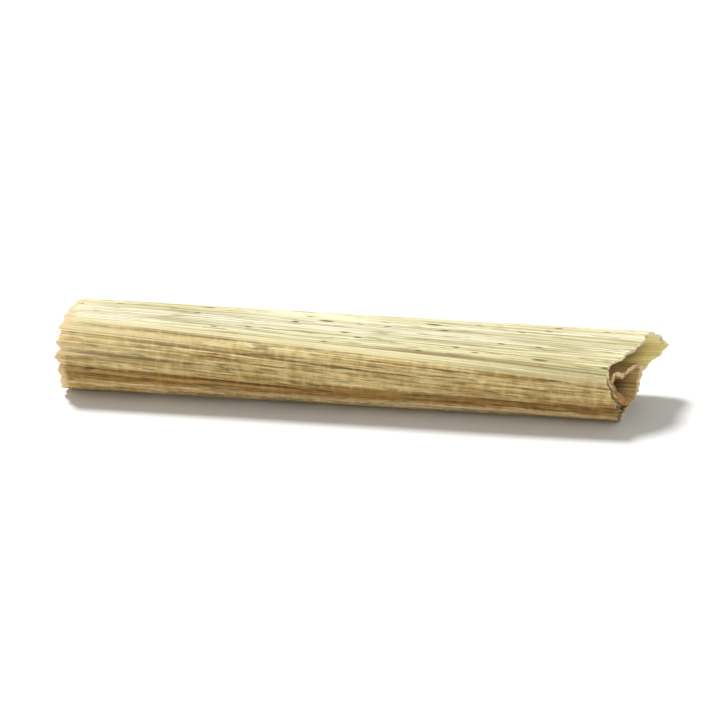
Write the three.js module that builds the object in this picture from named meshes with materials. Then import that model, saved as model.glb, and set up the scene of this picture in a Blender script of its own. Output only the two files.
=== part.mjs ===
// A cut length of lemongrass stalk, dried and lying on its side: three leaf sheaths rolled inside
// one another, round a young rolled leaf at the heart.
//
// Millimetres and degrees. +X runs along the stalk to its slanting cut, +Z is up, and the origin is
// on the surface that the stalk lies on, under the middle of its box.
//
// Every sheath is one strip that is wound round the stalk. A place in its cross-section is given by
// its winding, counted in degrees from the strip's outer margin, or by its bearing, which is
// counted from +Y towards +Z. A pair of values is [at the left cut, at the right cut].
import * as THREE from 'three';

const STALK_LENGTH = 60;
const AXIS_HEIGHT = 4.25;

// Both cuts slant: x grows by this much for each millimetre across the stalk and up it.
const SLANT = [
  { across: 0.17, up: 0.1 },
  { across: 0.5, up: 0.1 },
];

// The outermost sheath: strongly ribbed where it lies outermost and calmer where it was covered,
// with its free margin lying along the stalk as a ridge that winds a little round it. It is
// pressed flat where it rests, and its cut edges swell and dip between the planes of the cuts. The
// blade left the near side last, so the teeth are longest there.
const OUTER_SHEATH = {
  centre: { y: [0, 0], z: [0, 0] },
  halfWidth: [4.85, 4.85],
  halfHeight: [4.5, 4.5],
  settling: [0, 1],
  folds: [
    { bearing: 150, spread: 17, height: [0, 0.42] },
    { bearing: 104, spread: 26, height: [-0.06, -0.36] },
    { bearing: 196, spread: 26, height: [0.05, -0.4] },
    { bearing: 18, spread: 30, height: [-0.22, -0.1] },
    { bearing: 318, spread: 22, height: [0.08, 0.2] },
  ],
  margin: [112, 148],
  turn: 1,
  winding: 392,
  wall: 0.76,
  lowest: 0,
  taper: { depth: 0.36, reach: 21 },
  ribs: { count: 21, depth: 0.17, samples: 4 },
  rows: 12,
  setBack: [1.7, 3.35],
  swells: [
    [
      { bearing: 100, spread: 42, height: -1.2 },
      { bearing: 165, spread: 30, height: -0.35 },
      { bearing: 228, spread: 22, height: -0.35 },
    ],
    [
      { bearing: 95, spread: 26, height: 0.8 },
      { bearing: 142, spread: 16, height: -0.65 },
      { bearing: 205, spread: 38, height: 1.25 },
      { bearing: 320, spread: 34, height: -1.7 },
      { bearing: 16, spread: 24, height: 0.95 },
    ],
  ],
  teeth: [0.7, 0.2],
};

// The second sheath: round at the left cut, and at the right one pinched into a triangle, with a
// sharp fold on the near side and a dent along its top. Its margins nearly meet underneath.
const SECOND_SHEATH = {
  centre: { y: [0.42, 0.1], z: [-0.3, -1] },
  halfWidth: [3.15, 2],
  halfHeight: [2.8, 1.8],
  settling: [0.45, 1],
  folds: [
    { bearing: 134, spread: 17, height: [0.05, 1.2] },
    { bearing: 158, spread: 14, height: [0, 0.35] },
    { bearing: 90, spread: 30, height: [0, -0.45] },
    { bearing: 203, spread: 28, height: [0, -0.2] },
    { bearing: 8, spread: 24, height: [0, 1.1] },
    { bearing: 332, spread: 24, height: [0, 0.45] },
    { bearing: 250, spread: 22, height: [0, 0.38] },
  ],
  margin: [296, 272],
  turn: -1,
  winding: 344,
  wall: 0.6,
  lowest: 1.07,
  taper: { depth: 0.25, reach: 21 },
  ribs: { count: 16, depth: 0, samples: 4 },
  rows: 14,
  setBack: [2.2, 4],
  swells: [
    [],
    [
      { bearing: 262, spread: 42, height: 1 },
      { bearing: 315, spread: 40, height: 0.8 },
    ],
  ],
  teeth: [0.22, 0.16],
};

// The third sheath: a small tube whose margins do not quite meet. It shrank back from the right
// cut as the stalk dried.
const THIRD_SHEATH = {
  centre: { y: [0, 0.05], z: [-0.3, -1.1] },
  halfWidth: [1.62, 1.1],
  halfHeight: [1.62, 1.04],
  settling: [0.3, 1],
  folds: [],
  margin: [120, 100],
  turn: 1,
  winding: 330,
  wall: 0.6,
  lowest: 0,
  taper: { depth: 0.1, reach: 21 },
  ribs: { count: 12, depth: 0, samples: 3 },
  rows: 10,
  setBack: [2, 19],
  swells: [[], []],
  teeth: [0.2, 0.2],
};

// The heart: the youngest leaf, still rolled so tight that it is a rod. It shrank back furthest.
const HEART_LEAF = {
  centre: { y: [0, 0.03], z: [-0.32, -0.9] },
  halfWidth: [0.56, 0.31],
  halfHeight: [0.56, 0.27],
  settling: [0.3, 1],
  folds: [],
  sides: 14,
  rows: 10,
  setBack: [1.8, 27],
  swells: [[], []],
};

// Where a sheath covers itself, its inner margin slides in under the outer one over this stretch
// of winding, and the two layers keep this much air between them.
const TUCK = { from: 302, to: 352, air: 0.14 };
// The rows next to the cuts stand this share of the length in, so that only the cuts are jagged.
const END_ROW_SHARE = 0.03;
// Ribs fade to this share of their depth over this stretch of winding.
const CALM = { from: 100, to: 280, share: 0.45 };
// Teeth are longest at this bearing, and this share as long far from it.
const TORN = { bearing: 149, spread: 28, least: 0.25 };
// A tooth is from shortest to longest times the size given. Steps of the golden ratio through that
// range give every tooth a length unlike its neighbours'.
const TOOTH = { shortest: 0.8, longest: 1.2, step: 0.618 };
// The turn over which a wall's lean is measured.
const LEAN_STEP = 1;

const FULL_TURN = 360;
const LEFT = 0;
const RIGHT = 1;

const { lerp, degToRad, smoothstep, euclideanModulo } = THREE.MathUtils;

// A pair's value at a share of the length, from 0 at the left cut to 1 at the right one.
function along(pair, share) {
  return lerp(pair[LEFT], pair[RIGHT], share);
}

// A rounded swell of height 1 that fades out on both sides of its bearing.
function swellAt(bearing, swell) {
  const away = euclideanModulo(bearing - swell.bearing + FULL_TURN / 2, FULL_TURN) - FULL_TURN / 2;
  return Math.exp(-((away / swell.spread) ** 2));
}

// How far a section has changed from its left shape to its right one.
function settledAt(layer, share) {
  return smoothstep(share, layer.settling[LEFT], layer.settling[RIGHT]);
}

// The distance from the section's centre to a layer's surface, ribs left out: an ellipse plus the
// folds.
function sectionRadius(layer, bearing, share) {
  const settled = settledAt(layer, share);
  const width = along(layer.halfWidth, settled);
  const height = along(layer.halfHeight, settled);
  const turned = degToRad(bearing);
  let radius = (width * height) / Math.hypot(height * Math.cos(turned), width * Math.sin(turned));
  for (const fold of layer.folds) {
    radius += along(fold.height, settled) * swellAt(bearing, fold);
  }
  return radius;
}

// A point of a section, at a distance and bearing from its centre. Nothing reaches below lowest.
function sectionPoint(layer, bearing, radius, share, lowest) {
  const settled = settledAt(layer, share);
  const turned = degToRad(bearing);
  const y = along(layer.centre.y, settled) + radius * Math.cos(turned);
  const z = AXIS_HEIGHT + along(layer.centre.z, settled) + radius * Math.sin(turned);
  return { y, z: Math.max(z, lowest) };
}

// How much further a wall reaches along the radius than square to it: the length of the surface's
// tangent over the part of it that is square to the radius.
function leanAt(layer, bearing, share) {
  const after = sectionRadius(layer, bearing + LEAN_STEP, share);
  const before = sectionRadius(layer, bearing - LEAN_STEP, share);
  const slope = (after - before) / degToRad(2 * LEAN_STEP);
  return Math.hypot(1, slope / sectionRadius(layer, bearing, share));
}

// Where a cut crosses a line along the stalk: its slanting plane plus the edge's swells.
function cutAt(layer, end, bearing, { y, z }) {
  const side = end === LEFT ? -1 : 1;
  const slant = SLANT[end];
  let x = side * (STALK_LENGTH / 2 - layer.setBack[end]) + slant.across * y + slant.up * (z - AXIS_HEIGHT);
  for (const swell of layer.swells[end]) {
    x += swell.height * swellAt(bearing, swell);
  }
  return x;
}

// The bearing of a place on the winding. The margin winds evenly round the stalk.
function bearingAt(sheath, winding, share) {
  return along(sheath.margin, share) + sheath.turn * winding;
}

// How far a place on the winding has slid in under the layer that covers it, measured square to it.
function tuckAt(sheath, winding) {
  if (sheath.winding <= FULL_TURN) {
    return 0;
  }
  return (sheath.wall + TUCK.air) * smoothstep(winding, TUCK.from, TUCK.to);
}

// The ribs' shape across the winding: 0 in a sharp groove and 1 on a round crest, with a crest along
// either margin.
function ribAt(sheath, winding) {
  return Math.abs(Math.cos((Math.PI * sheath.ribs.count * winding) / sheath.winding));
}

// How deep a place lies below the smooth surface, in the grooves between ribs.
function grooveAt(sheath, winding) {
  const strength = lerp(1, CALM.share, smoothstep(winding, CALM.from, CALM.to));
  return sheath.ribs.depth * strength * (1 - ribAt(sheath, winding));
}

// A sheath's outer face, ribbed, and thinned towards its outer margin.
function outerPoint(sheath, winding, share) {
  const bearing = bearingAt(sheath, winding, share);
  const thinned = sheath.taper.depth * (1 - smoothstep(winding, 0, sheath.taper.reach));
  const slidIn = tuckAt(sheath, winding) * leanAt(sheath, bearing, share);
  const radius = sectionRadius(sheath, bearing, share) - slidIn - thinned - grooveAt(sheath, winding);
  return sectionPoint(sheath, bearing, radius, share, sheath.lowest);
}

// A sheath's inner face, one wall further in, and thinned towards its inner margin.
function innerPoint(sheath, winding, share) {
  const bearing = bearingAt(sheath, winding, share);
  const fromMargin = sheath.winding - winding;
  const thinned = sheath.taper.depth * (1 - smoothstep(fromMargin, 0, sheath.taper.reach));
  const depth = (tuckAt(sheath, winding) + sheath.wall) * leanAt(sheath, bearing, share);
  const radius = sectionRadius(sheath, bearing, share) - depth + thinned;
  return sectionPoint(sheath, bearing, radius, share, sheath.lowest + sheath.wall);
}

// How far a rib stands out past a cut, as a pointed tooth.
function toothAt(sheath, winding, end) {
  const rib = Math.round((sheath.ribs.count * winding) / sheath.winding);
  const uneven = lerp(TOOTH.shortest, TOOTH.longest, euclideanModulo(TOOTH.step * rib + end / 2, 1));
  const torn = lerp(TORN.least, 1, swellAt(bearingAt(sheath, winding, end), TORN));
  return (sheath.teeth[end] * uneven * torn * Math.asin(ribAt(sheath, winding))) / (Math.PI / 2);
}

// The shares of the length at which the rows of points stand.
function rowShares(rows) {
  const inside = rows - 2;
  const shares = [0];
  for (let row = 0; row < inside; row += 1) {
    shares.push(lerp(END_ROW_SHARE, 1 - END_ROW_SHARE, row / (inside - 1)));
  }
  shares.push(1);
  return shares;
}

// Triangles that all face out. On a strip wound the other way every one is turned over.
class FaceList {
  constructor(turnedOver) {
    this.turnedOver = turnedOver;
    this.indices = [];
  }

  triangle(a, b, c) {
    this.indices.push(a, this.turnedOver ? c : b, this.turnedOver ? b : c);
  }

  quad(a, b, c, d) {
    this.triangle(a, b, c);
    this.triangle(a, c, d);
  }
}

function closedGeometry(positions, faces) {
  const geometry = new THREE.BufferGeometry();
  geometry.setAttribute('position', new THREE.Float32BufferAttribute(positions, 3));
  geometry.setIndex(faces.indices);
  geometry.computeVertexNormals();
  return geometry;
}

// The points of one face of a sheath, column by column across the winding.
function facePositions(sheath, pointAt, columns, shares) {
  const positions = [];
  for (let column = 0; column < columns; column += 1) {
    const winding = (sheath.winding * column) / (columns - 1);
    const leftEnd = cutAt(sheath, LEFT, bearingAt(sheath, winding, 0), pointAt(sheath, winding, 0))
      - toothAt(sheath, winding, LEFT);
    const rightEnd = cutAt(sheath, RIGHT, bearingAt(sheath, winding, 1), pointAt(sheath, winding, 1))
      + toothAt(sheath, winding, RIGHT);
    for (const share of shares) {
      const { y, z } = pointAt(sheath, winding, share);
      positions.push(lerp(leftEnd, rightEnd, share), y, z);
    }
  }
  return positions;
}

// A sheath as one closed body: outer and inner faces, two cut edges and two margins.
function sheathGeometry(sheath) {
  const columns = sheath.ribs.count * sheath.ribs.samples + 1;
  const shares = rowShares(sheath.rows);
  const outerFace = facePositions(sheath, outerPoint, columns, shares);
  const innerFace = facePositions(sheath, innerPoint, columns, shares);
  const rows = shares.length;
  const outer = (column, row) => column * rows + row;
  const inner = (column, row) => (columns + column) * rows + row;
  const faces = new FaceList(sheath.turn < 0);
  const lastRow = rows - 1;
  for (let column = 0; column < columns - 1; column += 1) {
    const next = column + 1;
    for (let row = 0; row < lastRow; row += 1) {
      faces.quad(outer(column, row), outer(next, row), outer(next, row + 1), outer(column, row + 1));
      faces.quad(inner(column, row), inner(column, row + 1), inner(next, row + 1), inner(next, row));
    }
    faces.quad(outer(column, 0), inner(column, 0), inner(next, 0), outer(next, 0));
    faces.quad(outer(column, lastRow), outer(next, lastRow), inner(next, lastRow), inner(column, lastRow));
  }
  const last = columns - 1;
  for (let row = 0; row < lastRow; row += 1) {
    faces.quad(outer(0, row), outer(0, row + 1), inner(0, row + 1), inner(0, row));
    faces.quad(outer(last, row), inner(last, row), inner(last, row + 1), outer(last, row + 1));
  }
  return closedGeometry(outerFace.concat(innerFace), faces);
}

// A tight leaf as one closed rod, with a fan of faces over each cut.
function rodGeometry(leaf) {
  const shares = rowShares(leaf.rows);
  const positions = [];
  for (let side = 0; side < leaf.sides; side += 1) {
    const bearing = (FULL_TURN * side) / leaf.sides;
    const surface = (share) => sectionPoint(leaf, bearing, sectionRadius(leaf, bearing, share), share, 0);
    const leftEnd = cutAt(leaf, LEFT, bearing, surface(0));
    const rightEnd = cutAt(leaf, RIGHT, bearing, surface(1));
    for (const share of shares) {
      const { y, z } = surface(share);
      positions.push(lerp(leftEnd, rightEnd, share), y, z);
    }
  }
  for (const end of [LEFT, RIGHT]) {
    const middle = sectionPoint(leaf, 0, 0, end, 0);
    positions.push(cutAt(leaf, end, 0, middle), middle.y, middle.z);
  }
  const rows = shares.length;
  const at = (side, row) => (side % leaf.sides) * rows + row;
  const leftMiddle = leaf.sides * rows;
  const rightMiddle = leftMiddle + 1;
  const faces = new FaceList(false);
  for (let side = 0; side < leaf.sides; side += 1) {
    for (let row = 0; row < rows - 1; row += 1) {
      faces.quad(at(side, row), at(side + 1, row), at(side + 1, row + 1), at(side, row + 1));
    }
    faces.triangle(leftMiddle, at(side + 1, 0), at(side, 0));
    faces.triangle(rightMiddle, at(side, rows - 1), at(side + 1, rows - 1));
  }
  return closedGeometry(positions, faces);
}

function leafMesh(name, geometry, colour, roughness) {
  const material = new THREE.MeshStandardMaterial({ color: colour, roughness, metalness: 0 });
  const mesh = new THREE.Mesh(geometry, material);
  mesh.name = name;
  return mesh;
}

const stalk = new THREE.Group();
stalk.name = 'lemongrass_stalk';
stalk.add(leafMesh('outer_sheath', sheathGeometry(OUTER_SHEATH), '#d3c188', 0.55));
stalk.add(leafMesh('second_sheath', sheathGeometry(SECOND_SHEATH), '#c9a66b', 0.6));
stalk.add(leafMesh('third_sheath', sheathGeometry(THIRD_SHEATH), '#b99a5a', 0.6));
stalk.add(leafMesh('heart_leaf', rodGeometry(HEART_LEAF), '#b6aa72', 0.65));

export default stalk;
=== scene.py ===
"""A cut length of dried lemongrass stalk, lying on a pale surface."""
import math

import bpy
import numpy as np
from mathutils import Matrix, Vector


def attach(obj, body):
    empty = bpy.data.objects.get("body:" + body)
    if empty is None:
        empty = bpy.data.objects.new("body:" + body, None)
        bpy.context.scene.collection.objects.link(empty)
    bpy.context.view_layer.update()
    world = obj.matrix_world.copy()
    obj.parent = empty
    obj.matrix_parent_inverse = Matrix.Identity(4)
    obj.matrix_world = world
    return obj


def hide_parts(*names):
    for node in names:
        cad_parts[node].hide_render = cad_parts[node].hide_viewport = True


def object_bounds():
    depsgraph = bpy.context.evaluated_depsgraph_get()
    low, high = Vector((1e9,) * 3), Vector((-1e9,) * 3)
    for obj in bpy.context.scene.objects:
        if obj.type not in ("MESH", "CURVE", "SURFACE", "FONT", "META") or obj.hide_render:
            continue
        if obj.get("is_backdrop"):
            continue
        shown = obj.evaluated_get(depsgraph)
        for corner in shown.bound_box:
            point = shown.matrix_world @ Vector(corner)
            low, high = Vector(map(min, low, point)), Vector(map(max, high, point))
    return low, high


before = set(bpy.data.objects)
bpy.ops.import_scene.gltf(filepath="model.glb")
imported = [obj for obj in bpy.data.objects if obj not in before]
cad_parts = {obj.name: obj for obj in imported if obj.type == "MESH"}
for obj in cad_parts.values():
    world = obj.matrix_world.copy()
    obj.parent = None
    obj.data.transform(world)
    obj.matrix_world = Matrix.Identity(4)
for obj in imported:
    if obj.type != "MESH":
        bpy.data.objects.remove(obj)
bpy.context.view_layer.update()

# ---------------------------------------------------------------------------------------------
# Outer sheath.
# The oldest leaf's base, dried to a stiff papery skin less than half a millimetre thick. It is rolled
# once round the stalk and a little further, so that its free margin lies along the near side.
# Fibre bundles run through it from end to end and stand up as ribs with finer veins between them.
# ---------------------------------------------------------------------------------------------
MM = 0.001
FULL_TURN = 360.0
STALK_LENGTH = 60.0
AXIS_HEIGHT = 4.25
# The radius at which millimetres are counted round the outer sheath.
OUTER_RADIUS = 4.6
LEFT, RIGHT = 0, 1
# x grows by this much for each millimetre across the stalk and up it, at the left and right cuts.
SLANT = ((0.17, 0.10), (0.50, 0.10))

# Lengths are in millimetres and angles in degrees. A pair is (at the left cut, at the right cut),
# a fold is (bearing, spread, height at left, height at right), and a swell of the cut edge is
# (bearing, spread, height). Bearings count from +Y towards +Z, and windings from the outer margin.
OUTER_SHEATH = dict(
    centre_y=(0.0, 0.0), centre_z=(0.0, 0.0), half_width=(4.85, 4.85), half_height=(4.5, 4.5),
    settling=(0.0, 1.0),
    folds=((150, 17, 0.0, 0.42), (104, 26, -0.06, -0.36), (196, 26, 0.05, -0.40),
           (18, 30, -0.22, -0.10), (318, 22, 0.08, 0.20)),
    margin=(112, 153), turn=1, winding=392, lowest=0.0,
    wall=0.42, air=0.09, taper=0.29, taper_reach=21,
    ribs=21, rib_depth=0.19, veins=3, vein_depth=0.05, wander=0.22,
    set_back=(1.7, 3.35),
    swells=(((100, 42, -1.20), (165, 30, -0.35), (228, 22, -0.35)),
            ((95, 26, 0.80), (142, 16, -0.65), (205, 38, 1.25), (320, 34, -1.70), (16, 24, 0.95))),
    teeth=(0.70, 0.28), fray=(0.08, 0.08),
    dents=0.07, seed=11,
)
TUCK_FROM, TUCK_TO = 302, 352
# Ribs fade to this share of their depth over this stretch of winding, where the sheath was covered.
CALM_FROM, CALM_TO, CALM_SHARE = 100, 280, 0.45
# At the left cut teeth are longest at this bearing, where the blade left last, and this share as
# long far from it. The right cut crumbled a little all round.
TORN_BEARING, TORN_SPREAD, TORN_LEAST = 149, 28, (0.25, 1.0)
# A tooth is from shortest to longest times its size, in steps of the golden ratio through the range.
SHORTEST_TOOTH, LONGEST_TOOTH, TOOTH_STEP = 0.8, 1.2, 0.618
TOOTH_POWER = 1.2
# A vein's tooth, as a share of a rib's.
VEIN_TOOTH = 0.30
# The middle and the reach of each rib's and each vein's own strength, before it is cut to 0 to 1.
GROOVE_STRENGTH, VEIN_STRENGTH = (0.62, 0.62), (0.60, 0.70)
# How sharply grooves and veins are drawn in between the rounded crests.
GROOVE_POWER, VEIN_POWER = 3.0, 1.5
# The lining shows this share of the skin's relief.
LINING_RELIEF = 0.3
# How strongly rows of points crowd towards the cuts, from 0 for evenly spaced to just under 1.
ROW_CROWDING = 0.85
LEAN_STEP = 1.0


def share_of(low, high, value):
    """0 below low, 1 above high, and an S-curve between them."""
    t = np.clip((value - low) / (high - low), 0.0, 1.0)
    return t * t * (3.0 - 2.0 * t)


def blend(pair, share):
    """The value at a share of the length, between its values at the two cuts."""
    return pair[LEFT] + (pair[RIGHT] - pair[LEFT]) * share


def swell(bearing, middle, spread):
    """A rounded bump of height 1: the bell curve of the angle away from its middle."""
    away = (bearing - middle + FULL_TURN / 2) % FULL_TURN - FULL_TURN / 2
    return np.exp(-(away / spread) ** 2)


def patches(across, along, cells, seed):
    """Smooth noise from -1 to 1: seeded values on a lattice, blended by S-curves both ways.
    across and along run from 0 to 1 over cells[0] and cells[1] steps of the lattice."""
    values = np.random.default_rng(seed).uniform(-1.0, 1.0, (cells[0] + 2, cells[1] + 2))
    u, v = np.broadcast_arrays(across * cells[0], along * cells[1])
    i, j = np.floor(u).astype(int), np.floor(v).astype(int)
    s, t = share_of(0, 1, u - i), share_of(0, 1, v - j)
    near = values[i, j] * (1 - s) + values[i + 1, j] * s
    far = values[i, j + 1] * (1 - s) + values[i + 1, j + 1] * s
    return near * (1 - t) + far * t


def section_radius(layer, bearing, share):
    """The distance from a section's centre to the layer: an ellipse plus a bell curve a fold."""
    settled = share_of(*layer["settling"], share)
    width, height = blend(layer["half_width"], settled), blend(layer["half_height"], settled)
    turned = np.radians(bearing)
    radius = width * height / np.hypot(height * np.cos(turned), width * np.sin(turned))
    for middle, spread, left, right in layer["folds"]:
        radius = radius + blend((left, right), settled) * swell(bearing, middle, spread)
    return radius


def section_point(layer, bearing, radius, share, lowest):
    """y and z of a point at a bearing and distance from the section's centre, held above lowest."""
    settled = share_of(*layer["settling"], share)
    turned = np.radians(bearing)
    y = blend(layer["centre_y"], settled) + radius * np.cos(turned)
    z = AXIS_HEIGHT + blend(layer["centre_z"], settled) + radius * np.sin(turned)
    return y, np.maximum(z, lowest)


def lean_at(layer, bearing, share):
    """How much further a wall reaches along the radius than square to it: the length of the
    surface's tangent over the part of it that is square to the radius."""
    before, here, after = (
        section_radius(layer, bearing + step, share) for step in (-LEAN_STEP, 0.0, LEAN_STEP))
    return np.hypot(1.0, (after - before) / math.radians(2 * LEAN_STEP) / here)


def cut_plane(layer, end, bearing, y, z):
    """Where a cut crosses each line along the stalk: a slanting plane plus the edge's swells."""
    side = -1 if end == LEFT else 1
    across, up = SLANT[end]
    x = side * (STALK_LENGTH / 2 - layer["set_back"][end]) + across * y + up * (z - AXIS_HEIGHT)
    for middle, spread, height in layer["swells"][end]:
        x = x + height * swell(bearing, middle, spread)
    return x


def tuck_at(layer, winding):
    """How far a layer has slid in under itself: a step at one full turn, or a steady spiral."""
    if "pitch" in layer:
        return layer["pitch"] * winding / FULL_TURN
    if layer["winding"] <= FULL_TURN:
        return np.zeros_like(winding)
    return (layer["wall"] + layer["air"]) * share_of(TUCK_FROM, TUCK_TO, winding)


def winding_at(layer, part, share):
    """The winding of a column of points, part of the way round, which wanders with its rib: a
    seeded drift as a share of a rib's width, none at either margin."""
    drift = 4 * part * (1 - part) * patches(part, share, (layer["ribs"], 4), layer["seed"])
    return layer["winding"] * (part + layer["wander"] / layer["ribs"] * drift)


def calm_at(layer, part):
    """1 where the sheath lay outermost, falling by an S-curve to the calm share where it was
    covered."""
    return 1.0 + (CALM_SHARE - 1.0) * share_of(CALM_FROM, CALM_TO, layer["winding"] * part)


def groove_at(layer, part, share):
    """0 on a rib's crest and 1 in the groove beside it: half minus half a cosine wave, to a power
    that narrows it, times the rib's own strength, which fades and returns along the stalk. A crest
    lies along either margin."""
    middle, reach = GROOVE_STRENGTH
    strength = middle + reach * patches(part, share, (layer["ribs"], 5), layer["seed"] + 1)
    groove = (0.5 - 0.5 * np.cos(2 * math.pi * layer["ribs"] * part)) ** GROOVE_POWER
    return groove * np.clip(strength, 0.0, 1.0) * calm_at(layer, part)


def vein_at(layer, part, share):
    """The same for the veins: several to a rib, each with its own strength."""
    veins = layer["veins"] * layer["ribs"]
    middle, reach = VEIN_STRENGTH
    strength = middle + reach * patches(part, share, (veins, 7), layer["seed"] + 2)
    vein = (0.5 - 0.5 * np.cos(2 * math.pi * veins * part)) ** VEIN_POWER
    return vein * np.clip(strength, 0.0, 1.0) * calm_at(layer, part)


def relief_at(layer, part, share):
    """How deep ribs, veins and dents lie below the smooth skin, in millimetres."""
    dents = 0.5 + 0.5 * patches(part, share, (7, 6), layer["seed"] + 3)
    return (layer["rib_depth"] * groove_at(layer, part, share)
            + layer["vein_depth"] * vein_at(layer, part, share) + layer["dents"] * dents)


def points_along(phase, rng):
    """A row of pointed teeth, one to each whole number of phase, each leaning its own way: the two
    flanks rise to the tip in straight lines, hollowed a little by a power."""
    tip = rng.uniform(0.40, 0.65, int(phase.max()) + 1)[phase.astype(int)]
    flank = np.minimum((phase % 1.0) / tip, (1.0 - phase % 1.0) / (1.0 - tip))
    return flank ** TOOTH_POWER


def tooth_at(layer, part, bearing, end):
    """How far each column stands past its cut: a tooth a rib, each of its own length, a small one
    a vein, and ragged fibre ends, all longest where the blade left last."""
    rng = np.random.default_rng(layer["seed"] + 20 + end)
    ribs, veins = layer["ribs"] * part + 0.5, layer["veins"] * layer["ribs"] * part + 0.5
    order = (TOOTH_STEP * np.floor(ribs) + end / 2) % 1.0
    uneven = SHORTEST_TOOTH + (LONGEST_TOOTH - SHORTEST_TOOTH) * order
    torn = TORN_LEAST[end] + (1.0 - TORN_LEAST[end]) * swell(bearing, TORN_BEARING, TORN_SPREAD)
    small = rng.random(int(veins.max()) + 1)[veins.astype(int)]
    tooth = uneven * points_along(ribs, rng) + VEIN_TOOTH * small * points_along(veins, rng)
    ragged = np.convolve(rng.random(len(part) + 2), (0.25, 0.5, 0.25), "valid")
    return (layer["teeth"][end] * tooth + layer["fray"][end] * ragged) * torn


def sheath_skins(layer, columns, rows):
    """The outer and inner skin as two arrays of columns x rows points, in millimetres.
    Columns go round the winding, and rows run from cut to cut and crowd towards both."""
    part = np.linspace(0.0, 1.0, columns)[:, None]
    step = np.linspace(0.0, 1.0, rows)[None, :]
    share = step - ROW_CROWDING * np.sin(2 * math.pi * step) / (2 * math.pi)
    winding = winding_at(layer, part, share)
    bearing = blend(layer["margin"], share) + layer["turn"] * winding
    lean = lean_at(layer, bearing, share)
    smooth = section_radius(layer, bearing, share) - tuck_at(layer, winding) * lean
    thinned, inner_thinned = (layer["taper"] * (1 - share_of(0, layer["taper_reach"], from_margin))
                              for from_margin in (winding, layer["winding"] - winding))
    relief = relief_at(layer, part, share)
    skins = []
    for radius, lowest in (
        (smooth - thinned - relief, layer["lowest"]),
        (smooth - layer["wall"] * lean + inner_thinned - LINING_RELIEF * relief,
         layer["lowest"] + layer["wall"]),
    ):
        y, z = section_point(layer, bearing, radius, share, lowest)
        ends = []
        for end, side in ((LEFT, -1), (RIGHT, 1)):
            x = cut_plane(layer, end, bearing[:, -end], y[:, -end], z[:, -end])
            ends.append(x + side * tooth_at(layer, part[:, 0], bearing[:, -end], end))
        x = ends[LEFT][:, None] + (ends[RIGHT] - ends[LEFT])[:, None] * share
        skins.append(np.stack([x, y, z], axis=-1))
    return skins[0], skins[1], winding, part, share


def quads(a, b, c, d):
    """Four equal arrays of point numbers as a list of four-cornered faces."""
    return np.stack([a, b, c, d], axis=-1).reshape(-1, 4)


# An even number, so that whole quads close the ends of a cut's band of rings.
CUT_RINGS = 4
CUT_SUNK, CORNER_PROUD = 0.07, 0.01
# Edges that turn by more than this many degrees are shaded sharp.
SHARP_TURN = 55


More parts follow.
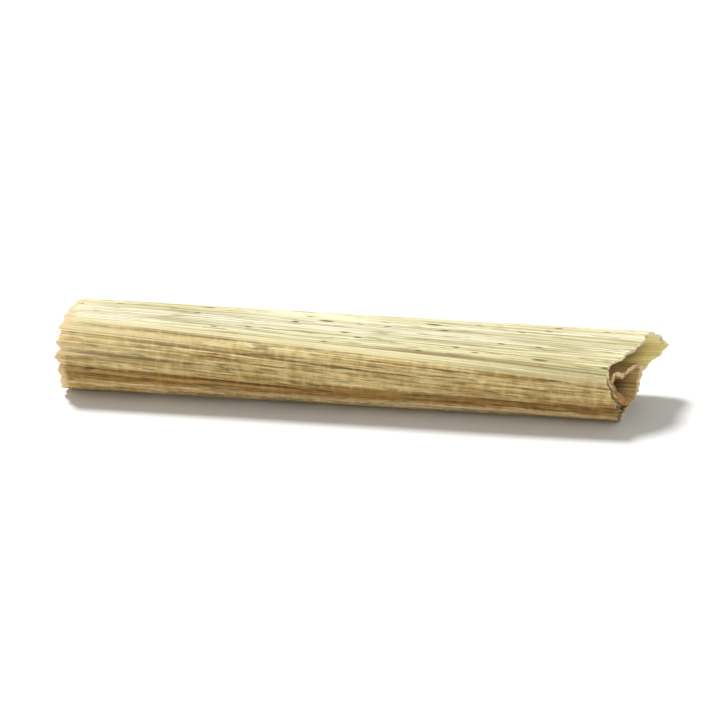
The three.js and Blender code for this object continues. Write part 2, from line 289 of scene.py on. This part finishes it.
def rolled_sheet(name, layer, columns, rows, mean_radius, materials):
    """One closed sheet: outer and inner skin, two margins and two cut edges. Each cut edge is a
    band of rings across the wall, sunk a little in the middle, where the soft tissue shrank, and
    at the margins proud by a hair, so that no face there folds back on another.
    Its UV map is in millimetres: round the winding, then along the stalk."""
    outer, inner, winding, part, share = sheath_skins(layer, columns, rows)
    wall_share = np.arange(1, CUT_RINGS + 1) / (CUT_RINGS + 1)
    rng = np.random.default_rng(layer["seed"] + 40)
    bands = []
    for end, inward in ((LEFT, 1), (RIGHT, -1)):
        start, stop = outer[:, -end][:, None], inner[:, -end][:, None]
        band = start + (stop - start) * wall_share[None, :, None]
        hollow = np.sin(math.pi * wall_share)
        sunk = CUT_SUNK * hollow[None, :] * (0.5 + rng.random((columns, CUT_RINGS)))
        sunk[[0, -1]] = -CORNER_PROUD * hollow
        band[..., 0] += inward * sunk
        bands.append(band)
    points = np.concatenate([surface.reshape(-1, 3) for surface in (outer, inner, *bands)])

    skin = np.arange(columns * rows).reshape(columns, rows)
    lining = skin + columns * rows
    faces, slots = [], []

    def add(corners, slot, flipped=False):
        if flipped != (layer["turn"] < 0):
            corners = corners[:, ::-1]
        faces.append(corners)
        slots.append(np.full(len(corners), slot))

    add(quads(skin[:-1, :-1], skin[1:, :-1], skin[1:, 1:], skin[:-1, 1:]), 0)
    add(quads(lining[:-1, :-1], lining[1:, :-1], lining[1:, 1:], lining[:-1, 1:]), 1, True)
    add(quads(skin[0, :-1], skin[0, 1:], lining[0, 1:], lining[0, :-1]), 2)
    add(quads(skin[-1, :-1], skin[-1, 1:], lining[-1, 1:], lining[-1, :-1]), 2, True)
    band_points = columns * CUT_RINGS
    for end in (LEFT, RIGHT):
        ring = 2 * columns * rows + end * band_points + np.arange(band_points).reshape(columns, CUT_RINGS)
        ladder = np.concatenate([skin[:, -end][:, None], ring, lining[:, -end][:, None]], axis=1)
        add(quads(ladder[:-1, :-1], ladder[:-1, 1:], ladder[1:, 1:], ladder[1:, :-1]), 2, end == RIGHT)
        for column, flipped in ((ladder[0], end == LEFT), (ladder[-1], end == RIGHT)):
            front, back = column[:len(column) // 2], column[:len(column) // 2 - 1:-1]
            add(quads(front[:-1], front[1:], back[1:], back[:-1]), 2, flipped)

    mesh = bpy.data.meshes.new(name)
    corners = np.concatenate(faces)
    mesh.from_pydata((points * MM).tolist(), [], corners.tolist())
    mesh.polygons.foreach_set("material_index", np.concatenate(slots).astype(np.int32))
    for material in materials:
        mesh.materials.append(material)

    arc = np.radians(winding) * mean_radius
    bands_round = [np.repeat(arc[:, -end], CUT_RINGS) for end in (LEFT, RIGHT)]
    around = np.concatenate([arc.reshape(-1), arc.reshape(-1), *bands_round])
    uv = np.stack([around, points[:, 0]], axis=-1)[corners.reshape(-1)]
    mesh.uv_layers.new(name="round_and_along").data.foreach_set("uv", uv.astype(np.float32).reshape(-1))

    length = (outer[:, -1, 0] - outer[:, 0, 0])[:, None]
    from_cut = (np.minimum(share, 1 - share) * length).reshape(-1)
    nothing = np.zeros(2 * band_points)
    for label, values in (
        ("from_cut", from_cut.reshape(-1, rows)), ("groove", groove_at(layer, part, share)),
        ("vein", vein_at(layer, part, share)), ("rib_phase", layer["ribs"] * part),
    ):
        skin_values = np.broadcast_to(values, (columns, rows)).reshape(-1)
        whole = np.concatenate([skin_values, skin_values, nothing]).astype(np.float32)
        mesh.attributes.new(label, "FLOAT", "POINT").data.foreach_set("value", whole)

    mesh.shade_smooth()
    mesh.set_sharp_from_angle(angle=math.radians(SHARP_TURN))
    piece = bpy.data.objects.new(name, mesh)
    bpy.context.scene.collection.objects.link(piece)
    return piece, outer, inner


def linear(hex_colour):
    """An sRGB hex colour as linear RGBA."""
    channels = [int(hex_colour[i:i + 2], 16) / 255 for i in (1, 3, 5)]
    return tuple(c / 12.92 if c <= 0.04045 else ((c + 0.055) / 1.055) ** 2.4 for c in channels) + (1.0,)


def add_node(tree, kind, inputs=None, stops=(), output=0, **settings):
    """Adds a shader node and returns one of its outputs. inputs gives each socket a constant or
    another node's output, settings are the node's properties, and stops are a ramp's colours."""
    node = tree.nodes.new("ShaderNode" + kind)
    for key, value in settings.items():
        setattr(node, key, value)
    for key, value in (inputs or {}).items():
        if isinstance(value, bpy.types.NodeSocket):
            tree.links.new(value, node.inputs[key])
        else:
            node.inputs[key].default_value = value
    for index, (position, colour) in enumerate(stops):
        ramp = node.color_ramp
        element = ramp.elements[index] if index < 2 else ramp.elements.new(position)
        element.position = position
        element.color = linear(colour)
    return None if output is None else node.outputs[output]


def times(tree, first, second):
    """The product of two values."""
    return add_node(tree, "Math", {0: first, 1: second}, operation="MULTIPLY")


def times_plus(tree, value, factor, added):
    """A value times a factor, plus another value."""
    return add_node(tree, "Math", {0: value, 1: factor, 2: added}, operation="MULTIPLY_ADD")


def streaks(tree, surface, width, length, detail, offset=0.0):
    """Noise drawn out along the stalk: width and length are a streak's size in millimetres."""
    stretched = add_node(tree, "Mapping", {
        "Vector": surface, "Scale": (1 / width, 1 / length, 1.0), "Location": (offset, offset, offset)})
    return add_node(tree, "TexNoise", {
        "Vector": stretched, "Scale": 1.0, "Detail": detail, "Roughness": 0.55}, noise_dimensions="2D")


def rib_surface(tree, rib_pitch):
    """Millimetres across the ribs and along the stalk, so that a pattern follows every rib."""
    phase = add_node(tree, "Attribute", output="Fac", attribute_name="rib_phase")
    flat = add_node(tree, "UVMap", uv_map="round_and_along")
    return add_node(tree, "CombineXYZ", {
        0: times(tree, phase, rib_pitch), 1: add_node(tree, "SeparateXYZ", {0: flat}, output=1)})


def fine_veins(tree, surface, spacing):
    """Close parallel lines, spacing millimetres apart: a sine across the ribs, from 0 to 1."""
    across = add_node(tree, "SeparateXYZ", {0: surface})
    wave = add_node(tree, "Math", {0: times(tree, across, 2 * math.pi / spacing)}, operation="SINE")
    return times_plus(tree, wave, 0.5, 0.5)


def flecks(tree, surface, width, length, share, offset=0.0):
    """Small drawn-out specks: in a share of the cells of a stretched Voronoi pattern, the spot
    nearest the cell's point is 1 and fades to 0. width and length are a cell's, in millimetres."""
    stretched = add_node(tree, "Mapping", {
        "Vector": surface, "Scale": (1 / width, 1 / length, 1.0), "Location": (offset, offset, 0.0)})
    cells = {"Vector": stretched, "Scale": 1.0}
    distance = add_node(tree, "TexVoronoi", cells, output="Distance", voronoi_dimensions="2D")
    number = add_node(tree, "SeparateColor", {0: add_node(
        tree, "TexVoronoi", cells, output="Color", voronoi_dimensions="2D")})
    spot = between(tree, distance, 0.22, 0.08)
    return times(tree, spot, between(tree, number, share + 0.02, share))


def between(tree, pattern, start, full, most=1.0):
    """How far a pattern's value has come from start to full, by an S-curve, times most."""
    low, high = min(start, full), max(start, full)
    ends = (0.0, most) if start < full else (most, 0.0)
    return add_node(tree, "MapRange", {0: pattern, 1: low, 2: high, 3: ends[0], 4: ends[1]},
                    interpolation_type="SMOOTHSTEP")


def stained(tree, under, stain, amount, where=None, how="MIX"):
    """A colour with a stain laid over it by an amount, and only so far as where lets it."""
    if where is not None:
        amount = times(tree, amount, where)
    return add_node(tree, "Mix", {0: amount, 6: under, 7: linear(stain)}, output=2,
                    data_type="RGBA", blend_type=how)


def leaf_shader(tree, colour, roughness, height, relief_mm, glow=0.30, reach=(1.0, 0.7, 0.35)):
    """Dried grass leaf: a satin skin with fine relief. glow is the share of light that passes
    into it, and reach is how far red, green and blue go, against each other."""
    normal = add_node(tree, "Bump", {"Strength": 1.0, "Distance": relief_mm * MM, "Height": height})
    surface = add_node(tree, "BsdfPrincipled", {
        "Base Color": colour, "Roughness": roughness, "IOR": 1.45, "Normal": normal,
        "Subsurface Weight": glow, "Subsurface Radius": reach, "Subsurface Scale": 0.6 * MM})
    add_node(tree, "OutputMaterial", {"Surface": surface}, output=None)


def new_tree(name):
    """An empty material of that name and its node tree."""
    material = bpy.data.materials.new(name)
    material.use_nodes = True
    material.node_tree.nodes.clear()
    return material, material.node_tree


# Dried lemongrass skin: a waxy, faintly glossy straw skin, cream on top and tan on the near side, partly its
# own colour and partly painted light on top and painted shade low on the near side. Close parallel veins run
# from end to end, with brown grooves between the ribs, short dark and pale dashes along them, and small
# specks of mould.
def outer_skin_material():
    material, tree = new_tree("dried_sheath_skin")
    flat = add_node(tree, "UVMap", uv_map="round_and_along")
    round_mm = add_node(tree, "SeparateXYZ", {0: flat})
    along_mm = add_node(tree, "SeparateXYZ", {0: flat}, output=1)
    whole = math.radians(OUTER_SHEATH["winding"]) * OUTER_RADIUS
    surface = rib_surface(tree, whole / OUTER_SHEATH["ribs"])
    groove = add_node(tree, "Attribute", output="Fac", attribute_name="groove")
    vein = add_node(tree, "Attribute", output="Fac", attribute_name="vein")
    from_cut = add_node(tree, "Attribute", output="Fac", attribute_name="from_cut")

    # The ramp runs round the winding: straw at the free margin, tan on the near side and cream on top, partly
    # the skin's own colour and partly painted shade on the near side and painted light on top. Its bands
    # wander, and drift with the way along the stalk.
    wander = streaks(tree, surface, 1.6, 26.0, 3.0, 5.0)
    shifted = times_plus(tree, wander, 2.0, times_plus(tree, along_mm, 0.055, round_mm))
    round_share = times_plus(tree, shifted, 1 / whole, -1.0 / whole)
    colour = add_node(tree, "ValToRGB", {0: round_share}, stops=(
        (0.00, "#dec783"), (1.00, "#fbf5c6"), (0.05, "#e6cd8a"), (0.12, "#e4c67e"), (0.22, "#cba760"),
        (0.33, "#b08d4a"), (0.50, "#b89b5c"), (0.64, "#e8d99e"), (0.74, "#fdf8d0"), (0.82, "#fefae0"),
        (0.90, "#fcf6cc")))

    # Low on the near side a strip of painted shade darkens the skin, and under it one pale rib is painted
    # light thrown up from below.
    low = times_plus(tree, along_mm, 0.030, round_mm)
    painted_low_shade = times(tree, between(tree, low, 4.0, 4.9), between(tree, low, 6.2, 5.6))
    painted_bounce_light = times(tree, between(tree, low, 6.1, 6.4), between(tree, low, 6.9, 6.6))

    tone = streaks(tree, surface, 1.3, 60.0, 2.0, 21.0)
    broad = streaks(tree, surface, 0.45, 24.0, 3.0, 1.0)
    fine = streaks(tree, surface, 0.16, 14.0, 2.0, 2.0)
    dark_dashes = streaks(tree, surface, 0.30, 4.0, 2.0, 31.0)
    pale_dashes = streaks(tree, surface, 0.34, 4.4, 2.0, 47.0)
    mottle = streaks(tree, surface, 1.1, 0.8, 2.0, 61.0)
    blush = streaks(tree, surface, 0.30, 2.4, 2.0, 9.0)
    veins = fine_veins(tree, surface, 0.25)
    near_side = between(tree, round_mm, 19.0, 13.0)
    top_side = between(tree, round_mm, 17.0, 22.0)
    # Each stain is its colour, its pattern, the values where it starts and is full, the most it
    # covers, where it lies and how it is laid on.
    for stain, pattern, start, full, most, where, how in (
        ("#b39055", tone, 0.50, 0.70, 0.30, near_side, "MULTIPLY"),
        ("#cdc890", tone, 0.48, 0.66, 0.35, top_side, "MULTIPLY"),
        ("#b9ac7a", broad, 0.50, 0.66, 0.55, None, "MULTIPLY"),
        ("#f8f0c0", broad, 0.48, 0.34, 0.40, None, "MIX"),
        ("#b8a878", fine, 0.48, 0.64, 0.55, None, "MULTIPLY"),
        ("#c2ad78", veins, 0.35, 1.0, 0.32, None, "MULTIPLY"),
        ("#8a6b36", vein, 0.50, 0.90, 0.45, None, "MIX"),
        ("#7a5a28", groove, 0.50, 0.95, 0.70, None, "MIX"),
        ("#b5a676", mottle, 0.50, 0.68, 0.28, near_side, "MULTIPLY"),
        ("#f3e0aa", mottle, 0.48, 0.32, 0.26, near_side, "MIX"),
        ("#644820", dark_dashes, 0.57, 0.69, 0.65, near_side, "MIX"),
        ("#a49c62", dark_dashes, 0.58, 0.70, 0.70, top_side, "MIX"),
        ("#f4e0aa", pale_dashes, 0.56, 0.68, 0.60, near_side, "MIX"),
        ("#c58e68", blush, 0.62, 0.74, 0.35, near_side, "MIX"),
    ):
        colour = stained(tree, colour, stain, between(tree, pattern, start, full, most), where, how)
    colour = stained(tree, colour, "#6f6a3e", flecks(tree, surface, 0.50, 2.6, 0.10, 3.0), where=top_side)
    colour = stained(tree, colour, "#7a7445", flecks(tree, surface, 0.85, 5.0, 0.09, 6.0), where=top_side)

    colour = stained(tree, colour, "#f4e0ac", between(tree, along_mm, -14.0, -26.0, 0.20),
                     where=between(tree, round_mm, 4.8, 4.0))
    # Painted shade along the low strip, then the pale rib's painted light, weaker towards the left end.
    colour = stained(tree, colour, "#c6b282", painted_low_shade, how="MULTIPLY")
    colour = stained(tree, colour, "#dcc9a0", painted_bounce_light, where=between(tree, along_mm, -32.0, -2.0, 0.5))

    # The margin is a pale strip of painted highlight, where its edge catches the light, with one pale rib
    # behind it. One full turn comes to 28.9 mm, so just short of that the skin dips in under the margin, and
    # there painted shadow of the gap darkens it from a third of the way along.
    edge = times_plus(tree, along_mm, -0.007, round_mm)
    painted_margin_highlight = between(tree, edge, 0.92, 0.56)
    first_rib = times(tree, between(tree, edge, 1.05, 1.45), between(tree, edge, 2.40, 1.80))
    fading = times(tree, between(tree, along_mm, -10.0, 8.0), between(tree, along_mm, 32.0, 12.0))
    painted_gap_shadow = times(tree, between(tree, round_mm, 28.20, 28.55), fading)
    # Painted highlight along the margin's edge.
    colour = stained(tree, colour, "#f6e7b2", painted_margin_highlight, where=between(tree, along_mm, 44.0, 8.0, 0.80))
    colour = stained(tree, colour, "#ead6a0", first_rib, where=between(tree, along_mm, -8.0, -26.0, 0.7))
    # Painted shadow in the gap under the margin.
    colour = stained(tree, colour, "#84642a", painted_gap_shadow, where=between(tree, round_mm, 29.4, 29.1, 0.65))

    # The blade tore off at the left cut and left a pale ragged rim. The knife's cut is darker.
    ragged_cut = times_plus(tree, broad, -0.9, from_cut)
    colour = stained(tree, colour, "#f0d2a2", between(tree, ragged_cut, 0.45, -0.1),
                     where=between(tree, along_mm, 10.0, -10.0, 0.75))

    roughness = times_plus(tree, between(tree, broad, 0.2, 0.8), 0.2, 0.46)
    height = times_plus(tree, veins, -0.8, fine)
    leaf_shader(tree, colour, roughness, height, 0.04)
    return material


# The heights, in millimetres, between which painted shade darkens the lowest part of a lining.
SHADE_STARTS, SHADE_FULL = 2.6, 1.2


# The inner skin of a sheath: smoother and glossier than the outer one, olive straw that goes to dark brown
# deeper inside, partly its own colour and partly painted shade of the hollow. reach is where that brown and
# painted shade starts and where it is full, in millimetres from the cut. glow is the share of light that
# passes through the skin, and floor_shade is how strongly the same painted shade darkens its lowest part too.
def lining_material(name, light, dark, deep, reach, glow, floor_shade=0.0):
    material, tree = new_tree(name)
    surface = rib_surface(tree, 1.2)
    from_cut = add_node(tree, "Attribute", output="Fac", attribute_name="from_cut")
    broad = streaks(tree, surface, 0.6, 12.0, 3.0, 4.0)
    veins = fine_veins(tree, surface, 0.3)
    colour = stained(tree, linear(light), dark, between(tree, broad, 0.35, 0.65))
    colour = stained(tree, colour, "#b5a06c", between(tree, veins, 0.4, 1.0, 0.22), how="MULTIPLY")
    # Dark brown deeper inside: partly the lining's own colour, partly painted shade of the hollow.
    colour = stained(tree, colour, deep, between(tree, from_cut, *reach, 0.9))
    # Painted shade on the lowest part of the lining.
    height = add_node(tree, "SeparateXYZ", {0: add_node(tree, "TexCoord", output="Object")}, output=2)
    painted_floor_shade = between(tree, height, SHADE_STARTS * MM, SHADE_FULL * MM, floor_shade)
    colour = stained(tree, colour, deep, painted_floor_shade)
    leaf_shader(tree, colour, 0.5, veins, 0.02, glow, (1.0, 0.9, 0.5))
    return material


# A cut edge: pale spongy tissue between two skins, stained brown in places, with the darker dots of
# the fibre bundles. The right cut is browned, and darkened further by painted shade, from the outer margin as
# far as the first given distance round in millimetres, and again on the last millimetre or two that lie
# tucked in, past the second.
def cut_edge_material(name, tissue, bundle, spacing, browned_and_shaded_to=0.0, browned_and_shaded_again=40.0,
                      browning_and_shade="#7a5c30"):
    material, tree = new_tree(name)
    surface = add_node(tree, "UVMap", uv_map="round_and_along")
    sponge = add_node(tree, "TexNoise", {
        "Vector": add_node(tree, "TexCoord", output="Object"), "Scale": 1 / (0.12 * MM), "Detail": 3.0})
    patch = streaks(tree, surface, 2.2, 400.0, 2.0, 17.0)
    dots = streaks(tree, surface, spacing, 400.0, 1.0, 8.0)
    colour = stained(tree, linear(tissue), "#d9b686", between(tree, sponge, 0.40, 0.70, 0.45))
    colour = stained(tree, colour, "#a67f4c", between(tree, patch, 0.48, 0.66, 0.65))
    colour = stained(tree, colour, bundle, between(tree, dots, 0.54, 0.64, 0.6))
    round_mm = add_node(tree, "SeparateXYZ", {0: surface})
    right_cut = between(tree, add_node(tree, "SeparateXYZ", {0: surface}, output=1), 0.0, 5.0, 0.9)
    # Browning and painted shade on the right cut, near the outer margin and on the tucked-in tail.
    colour = stained(tree, colour, browning_and_shade, between(tree, round_mm, browned_and_shaded_to + 2.0, browned_and_shaded_to),
                     where=right_cut, how="MULTIPLY")
    colour = stained(tree, colour, "#c8964e", between(tree, round_mm, browned_and_shaded_again, browned_and_shaded_again + 1.0),
                     where=right_cut, how="MULTIPLY")
    leaf_shader(tree, colour, 0.75, sponge, 0.05, 0.12)
    return material


outer_sheath, outer_skin, outer_lining = rolled_sheet(
    "outer_sheath_skin", OUTER_SHEATH, columns=21 * 24 + 1, rows=88, mean_radius=OUTER_RADIUS,
    materials=(outer_skin_material(),
               lining_material("outer_sheath_lining", "#fbf3b8", "#e8da96", "#58460a", (0.8, 5.5), 0.8, 0.85),
               cut_edge_material("outer_sheath_cut_edge", "#fdf1cd", "#c29a66", 0.35, 7.0, 29.2)))
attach(outer_sheath, "root")
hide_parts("outer_sheath")

# ---------------------------------------------------------------------------------------------
# Second sheath.
# A younger leaf's base inside the first, wound the other way. It is round at the left cut, and
# towards the right one it was pinched while drying, into a triangle with a sharp fold and a dent
# along its top. Its margins nearly meet underneath.
# ---------------------------------------------------------------------------------------------
SECOND_SHEATH = dict(
    centre_y=(0.42, 0.1), centre_z=(-0.30, -1.0), half_width=(3.15, 2.0), half_height=(2.8, 1.8),
    settling=(0.45, 1.0),
    folds=((134, 17, 0.05, 1.20), (158, 14, 0.0, 0.35), (90, 30, 0.0, -0.45), (203, 28, 0.0, -0.34),
           (8, 24, 0.0, 1.10), (332, 24, 0.0, 0.10), (306, 24, 0.0, -0.25), (250, 22, 0.0, 0.38)),
    margin=(296, 272), turn=-1, winding=344, lowest=0.0,
    wall=0.56, air=0.20, taper=0.22, taper_reach=21,
    ribs=16, rib_depth=0.08, veins=3, vein_depth=0.02, wander=0.16,
    set_back=(2.2, 4.0), swells=((), ((262, 42, 1.0), (315, 40, 0.8))), teeth=(0.22, 0.16),
    fray=(0.08, 0.08),
    dents=0.05, seed=71,
)


# Sheltered sheath skin: pinkish tan straw, smoother than the outer one.
def inner_skin_material(name, light, dark):
    material, tree = new_tree(name)
    surface = rib_surface(tree, 1.1)
    groove = add_node(tree, "Attribute", output="Fac", attribute_name="groove")
    broad = streaks(tree, surface, 0.5, 14.0, 3.0, 12.0)
    veins = fine_veins(tree, surface, 0.28)
    colour = stained(tree, linear(light), dark, between(tree, broad, 0.35, 0.65))
    colour = stained(tree, colour, "#b5a06c", between(tree, veins, 0.4, 1.0, 0.35), how="MULTIPLY")
    colour = stained(tree, colour, "#8a6b38", between(tree, groove, 0.5, 0.9, 0.5))
    leaf_shader(tree, colour, 0.55, veins, 0.02)
    return material


second_sheath, second_skin, second_lining = rolled_sheet(
    "second_sheath_skin", SECOND_SHEATH, columns=16 * 18 + 1, rows=72, mean_radius=2.9,
    materials=(inner_skin_material("second_sheath_skin", "#d9b98a", "#c09a66"),
               lining_material("second_sheath_lining", "#f0d498", "#c49a54", "#583c04", (0.3, 2.8), 0.25),
               cut_edge_material("second_sheath_cut_edge", "#f6dfb0", "#c99f70", 0.3, 5.6,
                                 browning_and_shade="#d9b580")))
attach(second_sheath, "root")
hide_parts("second_sheath")

# ---------------------------------------------------------------------------------------------
# Third sheath.
# A narrow tube of thin leaf whose margins do not quite meet. It shrank back from the right cut
# as the stalk dried.
# ---------------------------------------------------------------------------------------------
THIRD_SHEATH = dict(
    centre_y=(0.0, 0.05), centre_z=(-0.30, -1.10), half_width=(1.62, 1.10), half_height=(1.62, 1.04),
    settling=(0.3, 1.0), folds=(),
    margin=(120, 100), turn=1, winding=330, lowest=0.0,
    wall=0.24, air=0.14, taper=0.12, taper_reach=21,
    ribs=12, rib_depth=0.05, veins=3, vein_depth=0.015, wander=0.16,
    set_back=(2.0, 19.0), swells=((), ()), teeth=(0.20, 0.20), fray=(0.08, 0.08),
    dents=0.04, seed=131,
)
third_sheath, *_ = rolled_sheet(
    "third_sheath_skin", THIRD_SHEATH, columns=12 * 12 + 1, rows=48, mean_radius=1.5,
    materials=(inner_skin_material("third_sheath_skin", "#d8c48d", "#bfa268"),
               lining_material("third_sheath_lining", "#b9995c", "#86673a", "#3f2c12", (0.3, 3.0), 0.4),
               cut_edge_material("third_sheath_cut_edge", "#e9dab2", "#a98a52", 0.25)))
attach(third_sheath, "root")
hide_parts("third_sheath")

# ---------------------------------------------------------------------------------------------
# Heart leaf.
# The youngest leaf, still rolled tight like a scroll in the middle of the stalk. It shrank back
# furthest.
# ---------------------------------------------------------------------------------------------
HEART_LEAF = dict(
    centre_y=(0.0, 0.03), centre_z=(-0.32, -0.90), half_width=(0.56, 0.35), half_height=(0.56, 0.32),
    settling=(0.3, 1.0), folds=(),
    margin=(60, 60), turn=1, winding=800, lowest=0.0, pitch=0.10,
    wall=0.07, air=0.0, taper=0.02, taper_reach=60,
    ribs=24, rib_depth=0.015, veins=2, vein_depth=0.004, wander=0.10,
    set_back=(1.8, 27.0), swells=((), ()), teeth=(0.10, 0.10), fray=(0.05, 0.05),
    dents=0.01, seed=191,
)
heart_leaf, *_ = rolled_sheet(
    "heart_leaf_scroll", HEART_LEAF, columns=24 * 6 + 1, rows=40, mean_radius=0.45,
    materials=(inner_skin_material("heart_leaf_skin", "#c9bd83", "#a5965c"),
               lining_material("heart_leaf_lining", "#b3a468", "#857540", "#4a3818", (0.3, 3.0), 0.4),
               cut_edge_material("heart_leaf_cut_edge", "#dcd0a0", "#9a8550", 0.2)))
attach(heart_leaf, "root")
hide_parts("heart_leaf")

# ---------------------------------------------------------------------------------------------
# Torn fibres.
# The knife drags a few fibre bundles out of the cut walls. They dry as short curled hairs, each
# rooted in the cut edge of a sheath.
# ---------------------------------------------------------------------------------------------
FIBRE_POINTS = 6
FIBRE_SIDES = 3
# A fibre's tip is thinner than its root by this share, and its root lies this deep, in millimetres.
FIBRE_THINNING = 0.85
FIBRE_DEPTH = 0.25


def torn_fibres(name, roots, directions, lengths, curls, radii, material):
    """Each fibre is a three-sided hair along a curve that leaves its root straight and bends away
    with the square of the way along it, and it thins to a point."""
    way = np.linspace(0.0, 1.0, FIBRE_POINTS)[None, :, None]
    path = (roots[:, None] + directions[:, None] * lengths[:, None, None] * way
            + curls[:, None] * way ** 2)
    path[..., 2] = np.maximum(path[..., 2], radii[:, None])
    turned = 2 * math.pi * np.arange(FIBRE_SIDES) / FIBRE_SIDES
    ring = np.stack([np.zeros(FIBRE_SIDES), np.cos(turned), np.sin(turned)], axis=-1)
    thickness = radii[:, None, None, None] * (1.0 - FIBRE_THINNING * way[..., None])
    points = path[:, :, None] + ring[None, None] * thickness
    count = len(roots)
    number = np.arange(count * FIBRE_POINTS * FIBRE_SIDES).reshape(count, FIBRE_POINTS, FIBRE_SIDES)
    following = np.roll(number, -1, axis=2)
    sides = quads(number[:, :-1], following[:, :-1], following[:, 1:], number[:, 1:])
    backwards = directions[:, 0] < 0
    per_fibre = sides.reshape(count, -1, 4)
    per_fibre[backwards] = per_fibre[backwards][:, :, ::-1]
    roots_cap, tips_cap = number[:, 0, ::-1], number[:, -1]
    for cap in (roots_cap, tips_cap):
        cap[backwards] = cap[backwards][:, ::-1]
    faces = per_fibre.reshape(-1, 4).tolist() + roots_cap.tolist() + tips_cap.tolist()
    mesh = bpy.data.meshes.new(name)
    mesh.from_pydata((points.reshape(-1, 3) * MM).tolist(), [], faces)
    mesh.materials.append(material)
    mesh.shade_smooth()
    piece = bpy.data.objects.new(name, mesh)
    bpy.context.scene.collection.objects.link(piece)
    return piece


def fibre_batch(rng, skin, lining, end, count, longest):
    """Roots on a sheath's cut edge, and each fibre's direction, length, curl and radius."""
    columns = rng.integers(4, len(skin) - 4, count)
    depth = rng.uniform(0.25, 0.75, (count, 1))
    roots = skin[columns, -end] * (1 - depth) + lining[columns, -end] * depth
    side = -1.0 if end == LEFT else 1.0
    roots[:, 0] -= side * FIBRE_DEPTH
    directions = np.stack(
        [np.full(count, side), rng.normal(0, 0.10, count), rng.normal(0, 0.10, count)], axis=-1)
    lengths = 0.35 + longest * rng.random(count) ** 2
    curls = rng.normal(0, 0.22, (count, 3)) * lengths[:, None]
    curls[:, 0] *= 0.3
    return roots, directions, lengths, curls, rng.uniform(0.018, 0.04, count)


# Bare dried fibre: pale straw, dull.
def fibre_material():
    material, tree = new_tree("dried_fibre")
    cloud = add_node(tree, "TexNoise", {
        "Vector": add_node(tree, "TexCoord", output="Object"), "Scale": 1 / (0.8 * MM), "Detail": 2.0})
    colour = stained(tree, linear("#f0e6bf"), "#bd9f66", between(tree, cloud, 0.4, 0.7))
    leaf_shader(tree, colour, 0.7, cloud, 0.01)
    return material


fibre_rng = np.random.default_rng(301)
batches = [fibre_batch(fibre_rng, *skins, end, count, longest) for skins, end, count, longest in (
    ((outer_skin, outer_lining), LEFT, 26, 0.5), ((outer_skin, outer_lining), RIGHT, 26, 0.6),
    ((second_skin, second_lining), LEFT, 10, 0.4), ((second_skin, second_lining), RIGHT, 8, 0.3))]
fibres = torn_fibres("torn_fibres", *[np.concatenate(column) for column in zip(*batches)], fibre_material())
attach(fibres, "root")

# ---------------------------------------------------------------------------------------------
# The pale surface, the lights and the camera.
# A wide sheet of white card under soft light from the left and behind, with a bright sky.
# ---------------------------------------------------------------------------------------------
TABLE_HALF = 1.5
table_mesh = bpy.data.meshes.new("white_card")
table_mesh.from_pydata([(-TABLE_HALF, -TABLE_HALF, 0), (TABLE_HALF, -TABLE_HALF, 0),
                        (TABLE_HALF, TABLE_HALF, 0), (-TABLE_HALF, TABLE_HALF, 0)], [], [(0, 1, 2, 3)])
card, card_tree = new_tree("white_card")
card_surface = add_node(card_tree, "BsdfPrincipled", {
    "Base Color": linear("#f2f2f0"), "Roughness": 0.9, "Specular IOR Level": 0.1})
add_node(card_tree, "OutputMaterial", {"Surface": card_surface}, output=None)
table_mesh.materials.append(card)
table = bpy.data.objects.new("white_card", table_mesh)
bpy.context.scene.collection.objects.link(table)
table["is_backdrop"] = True

SKY_STRENGTH = 0.48
world = bpy.data.worlds.new("soft_sky")
world.use_nodes = True
world.node_tree.nodes["Background"].inputs["Color"].default_value = (1.0, 1.0, 1.0, 1.0)
world.node_tree.nodes["Background"].inputs["Strength"].default_value = SKY_STRENGTH
bpy.context.scene.world = world


def add_sun(name, direction, strength, softness):
    """A distant light that comes from direction, with an angle that sets how soft its shadows are."""
    light = bpy.data.lights.new(name, "SUN")
    light.energy = strength
    light.angle = math.radians(softness)
    lamp = bpy.data.objects.new(name, light)
    lamp.rotation_euler = Vector(direction).to_track_quat("Z", "Y").to_euler()
    bpy.context.scene.collection.objects.link(lamp)


add_sun("window", (-0.45, 0.24, 1.0), 2.75, 14.0)
add_sun("room", (0.3, -1.0, 0.7), 0.12, 60.0)

AZIMUTH, ELEVATION = 7.0, 29.0
FOCAL_LENGTH = 300.0
FILM_WIDTH = 36.0
STALK_SHARE_OF_IMAGE = 0.84
camera_data = bpy.data.cameras.new("camera")
camera_data.lens = FOCAL_LENGTH
camera_data.sensor_width = FILM_WIDTH
camera_data.clip_start = 0.01
camera = bpy.data.objects.new("camera", camera_data)
distance = STALK_LENGTH * MM / STALK_SHARE_OF_IMAGE * FOCAL_LENGTH / FILM_WIDTH
turned, raised = math.radians(AZIMUTH), math.radians(ELEVATION)
towards_camera = Vector((math.sin(turned) * math.cos(raised), -math.cos(turned) * math.cos(raised),
                         math.sin(raised)))
low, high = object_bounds()
camera.location = (low + high) / 2 + towards_camera * distance
camera.rotation_euler = towards_camera.to_track_quat("Z", "Y").to_euler()
bpy.context.scene.collection.objects.link(camera)
bpy.context.scene.camera = camera
bpy.context.scene.view_settings.view_transform = "Standard"
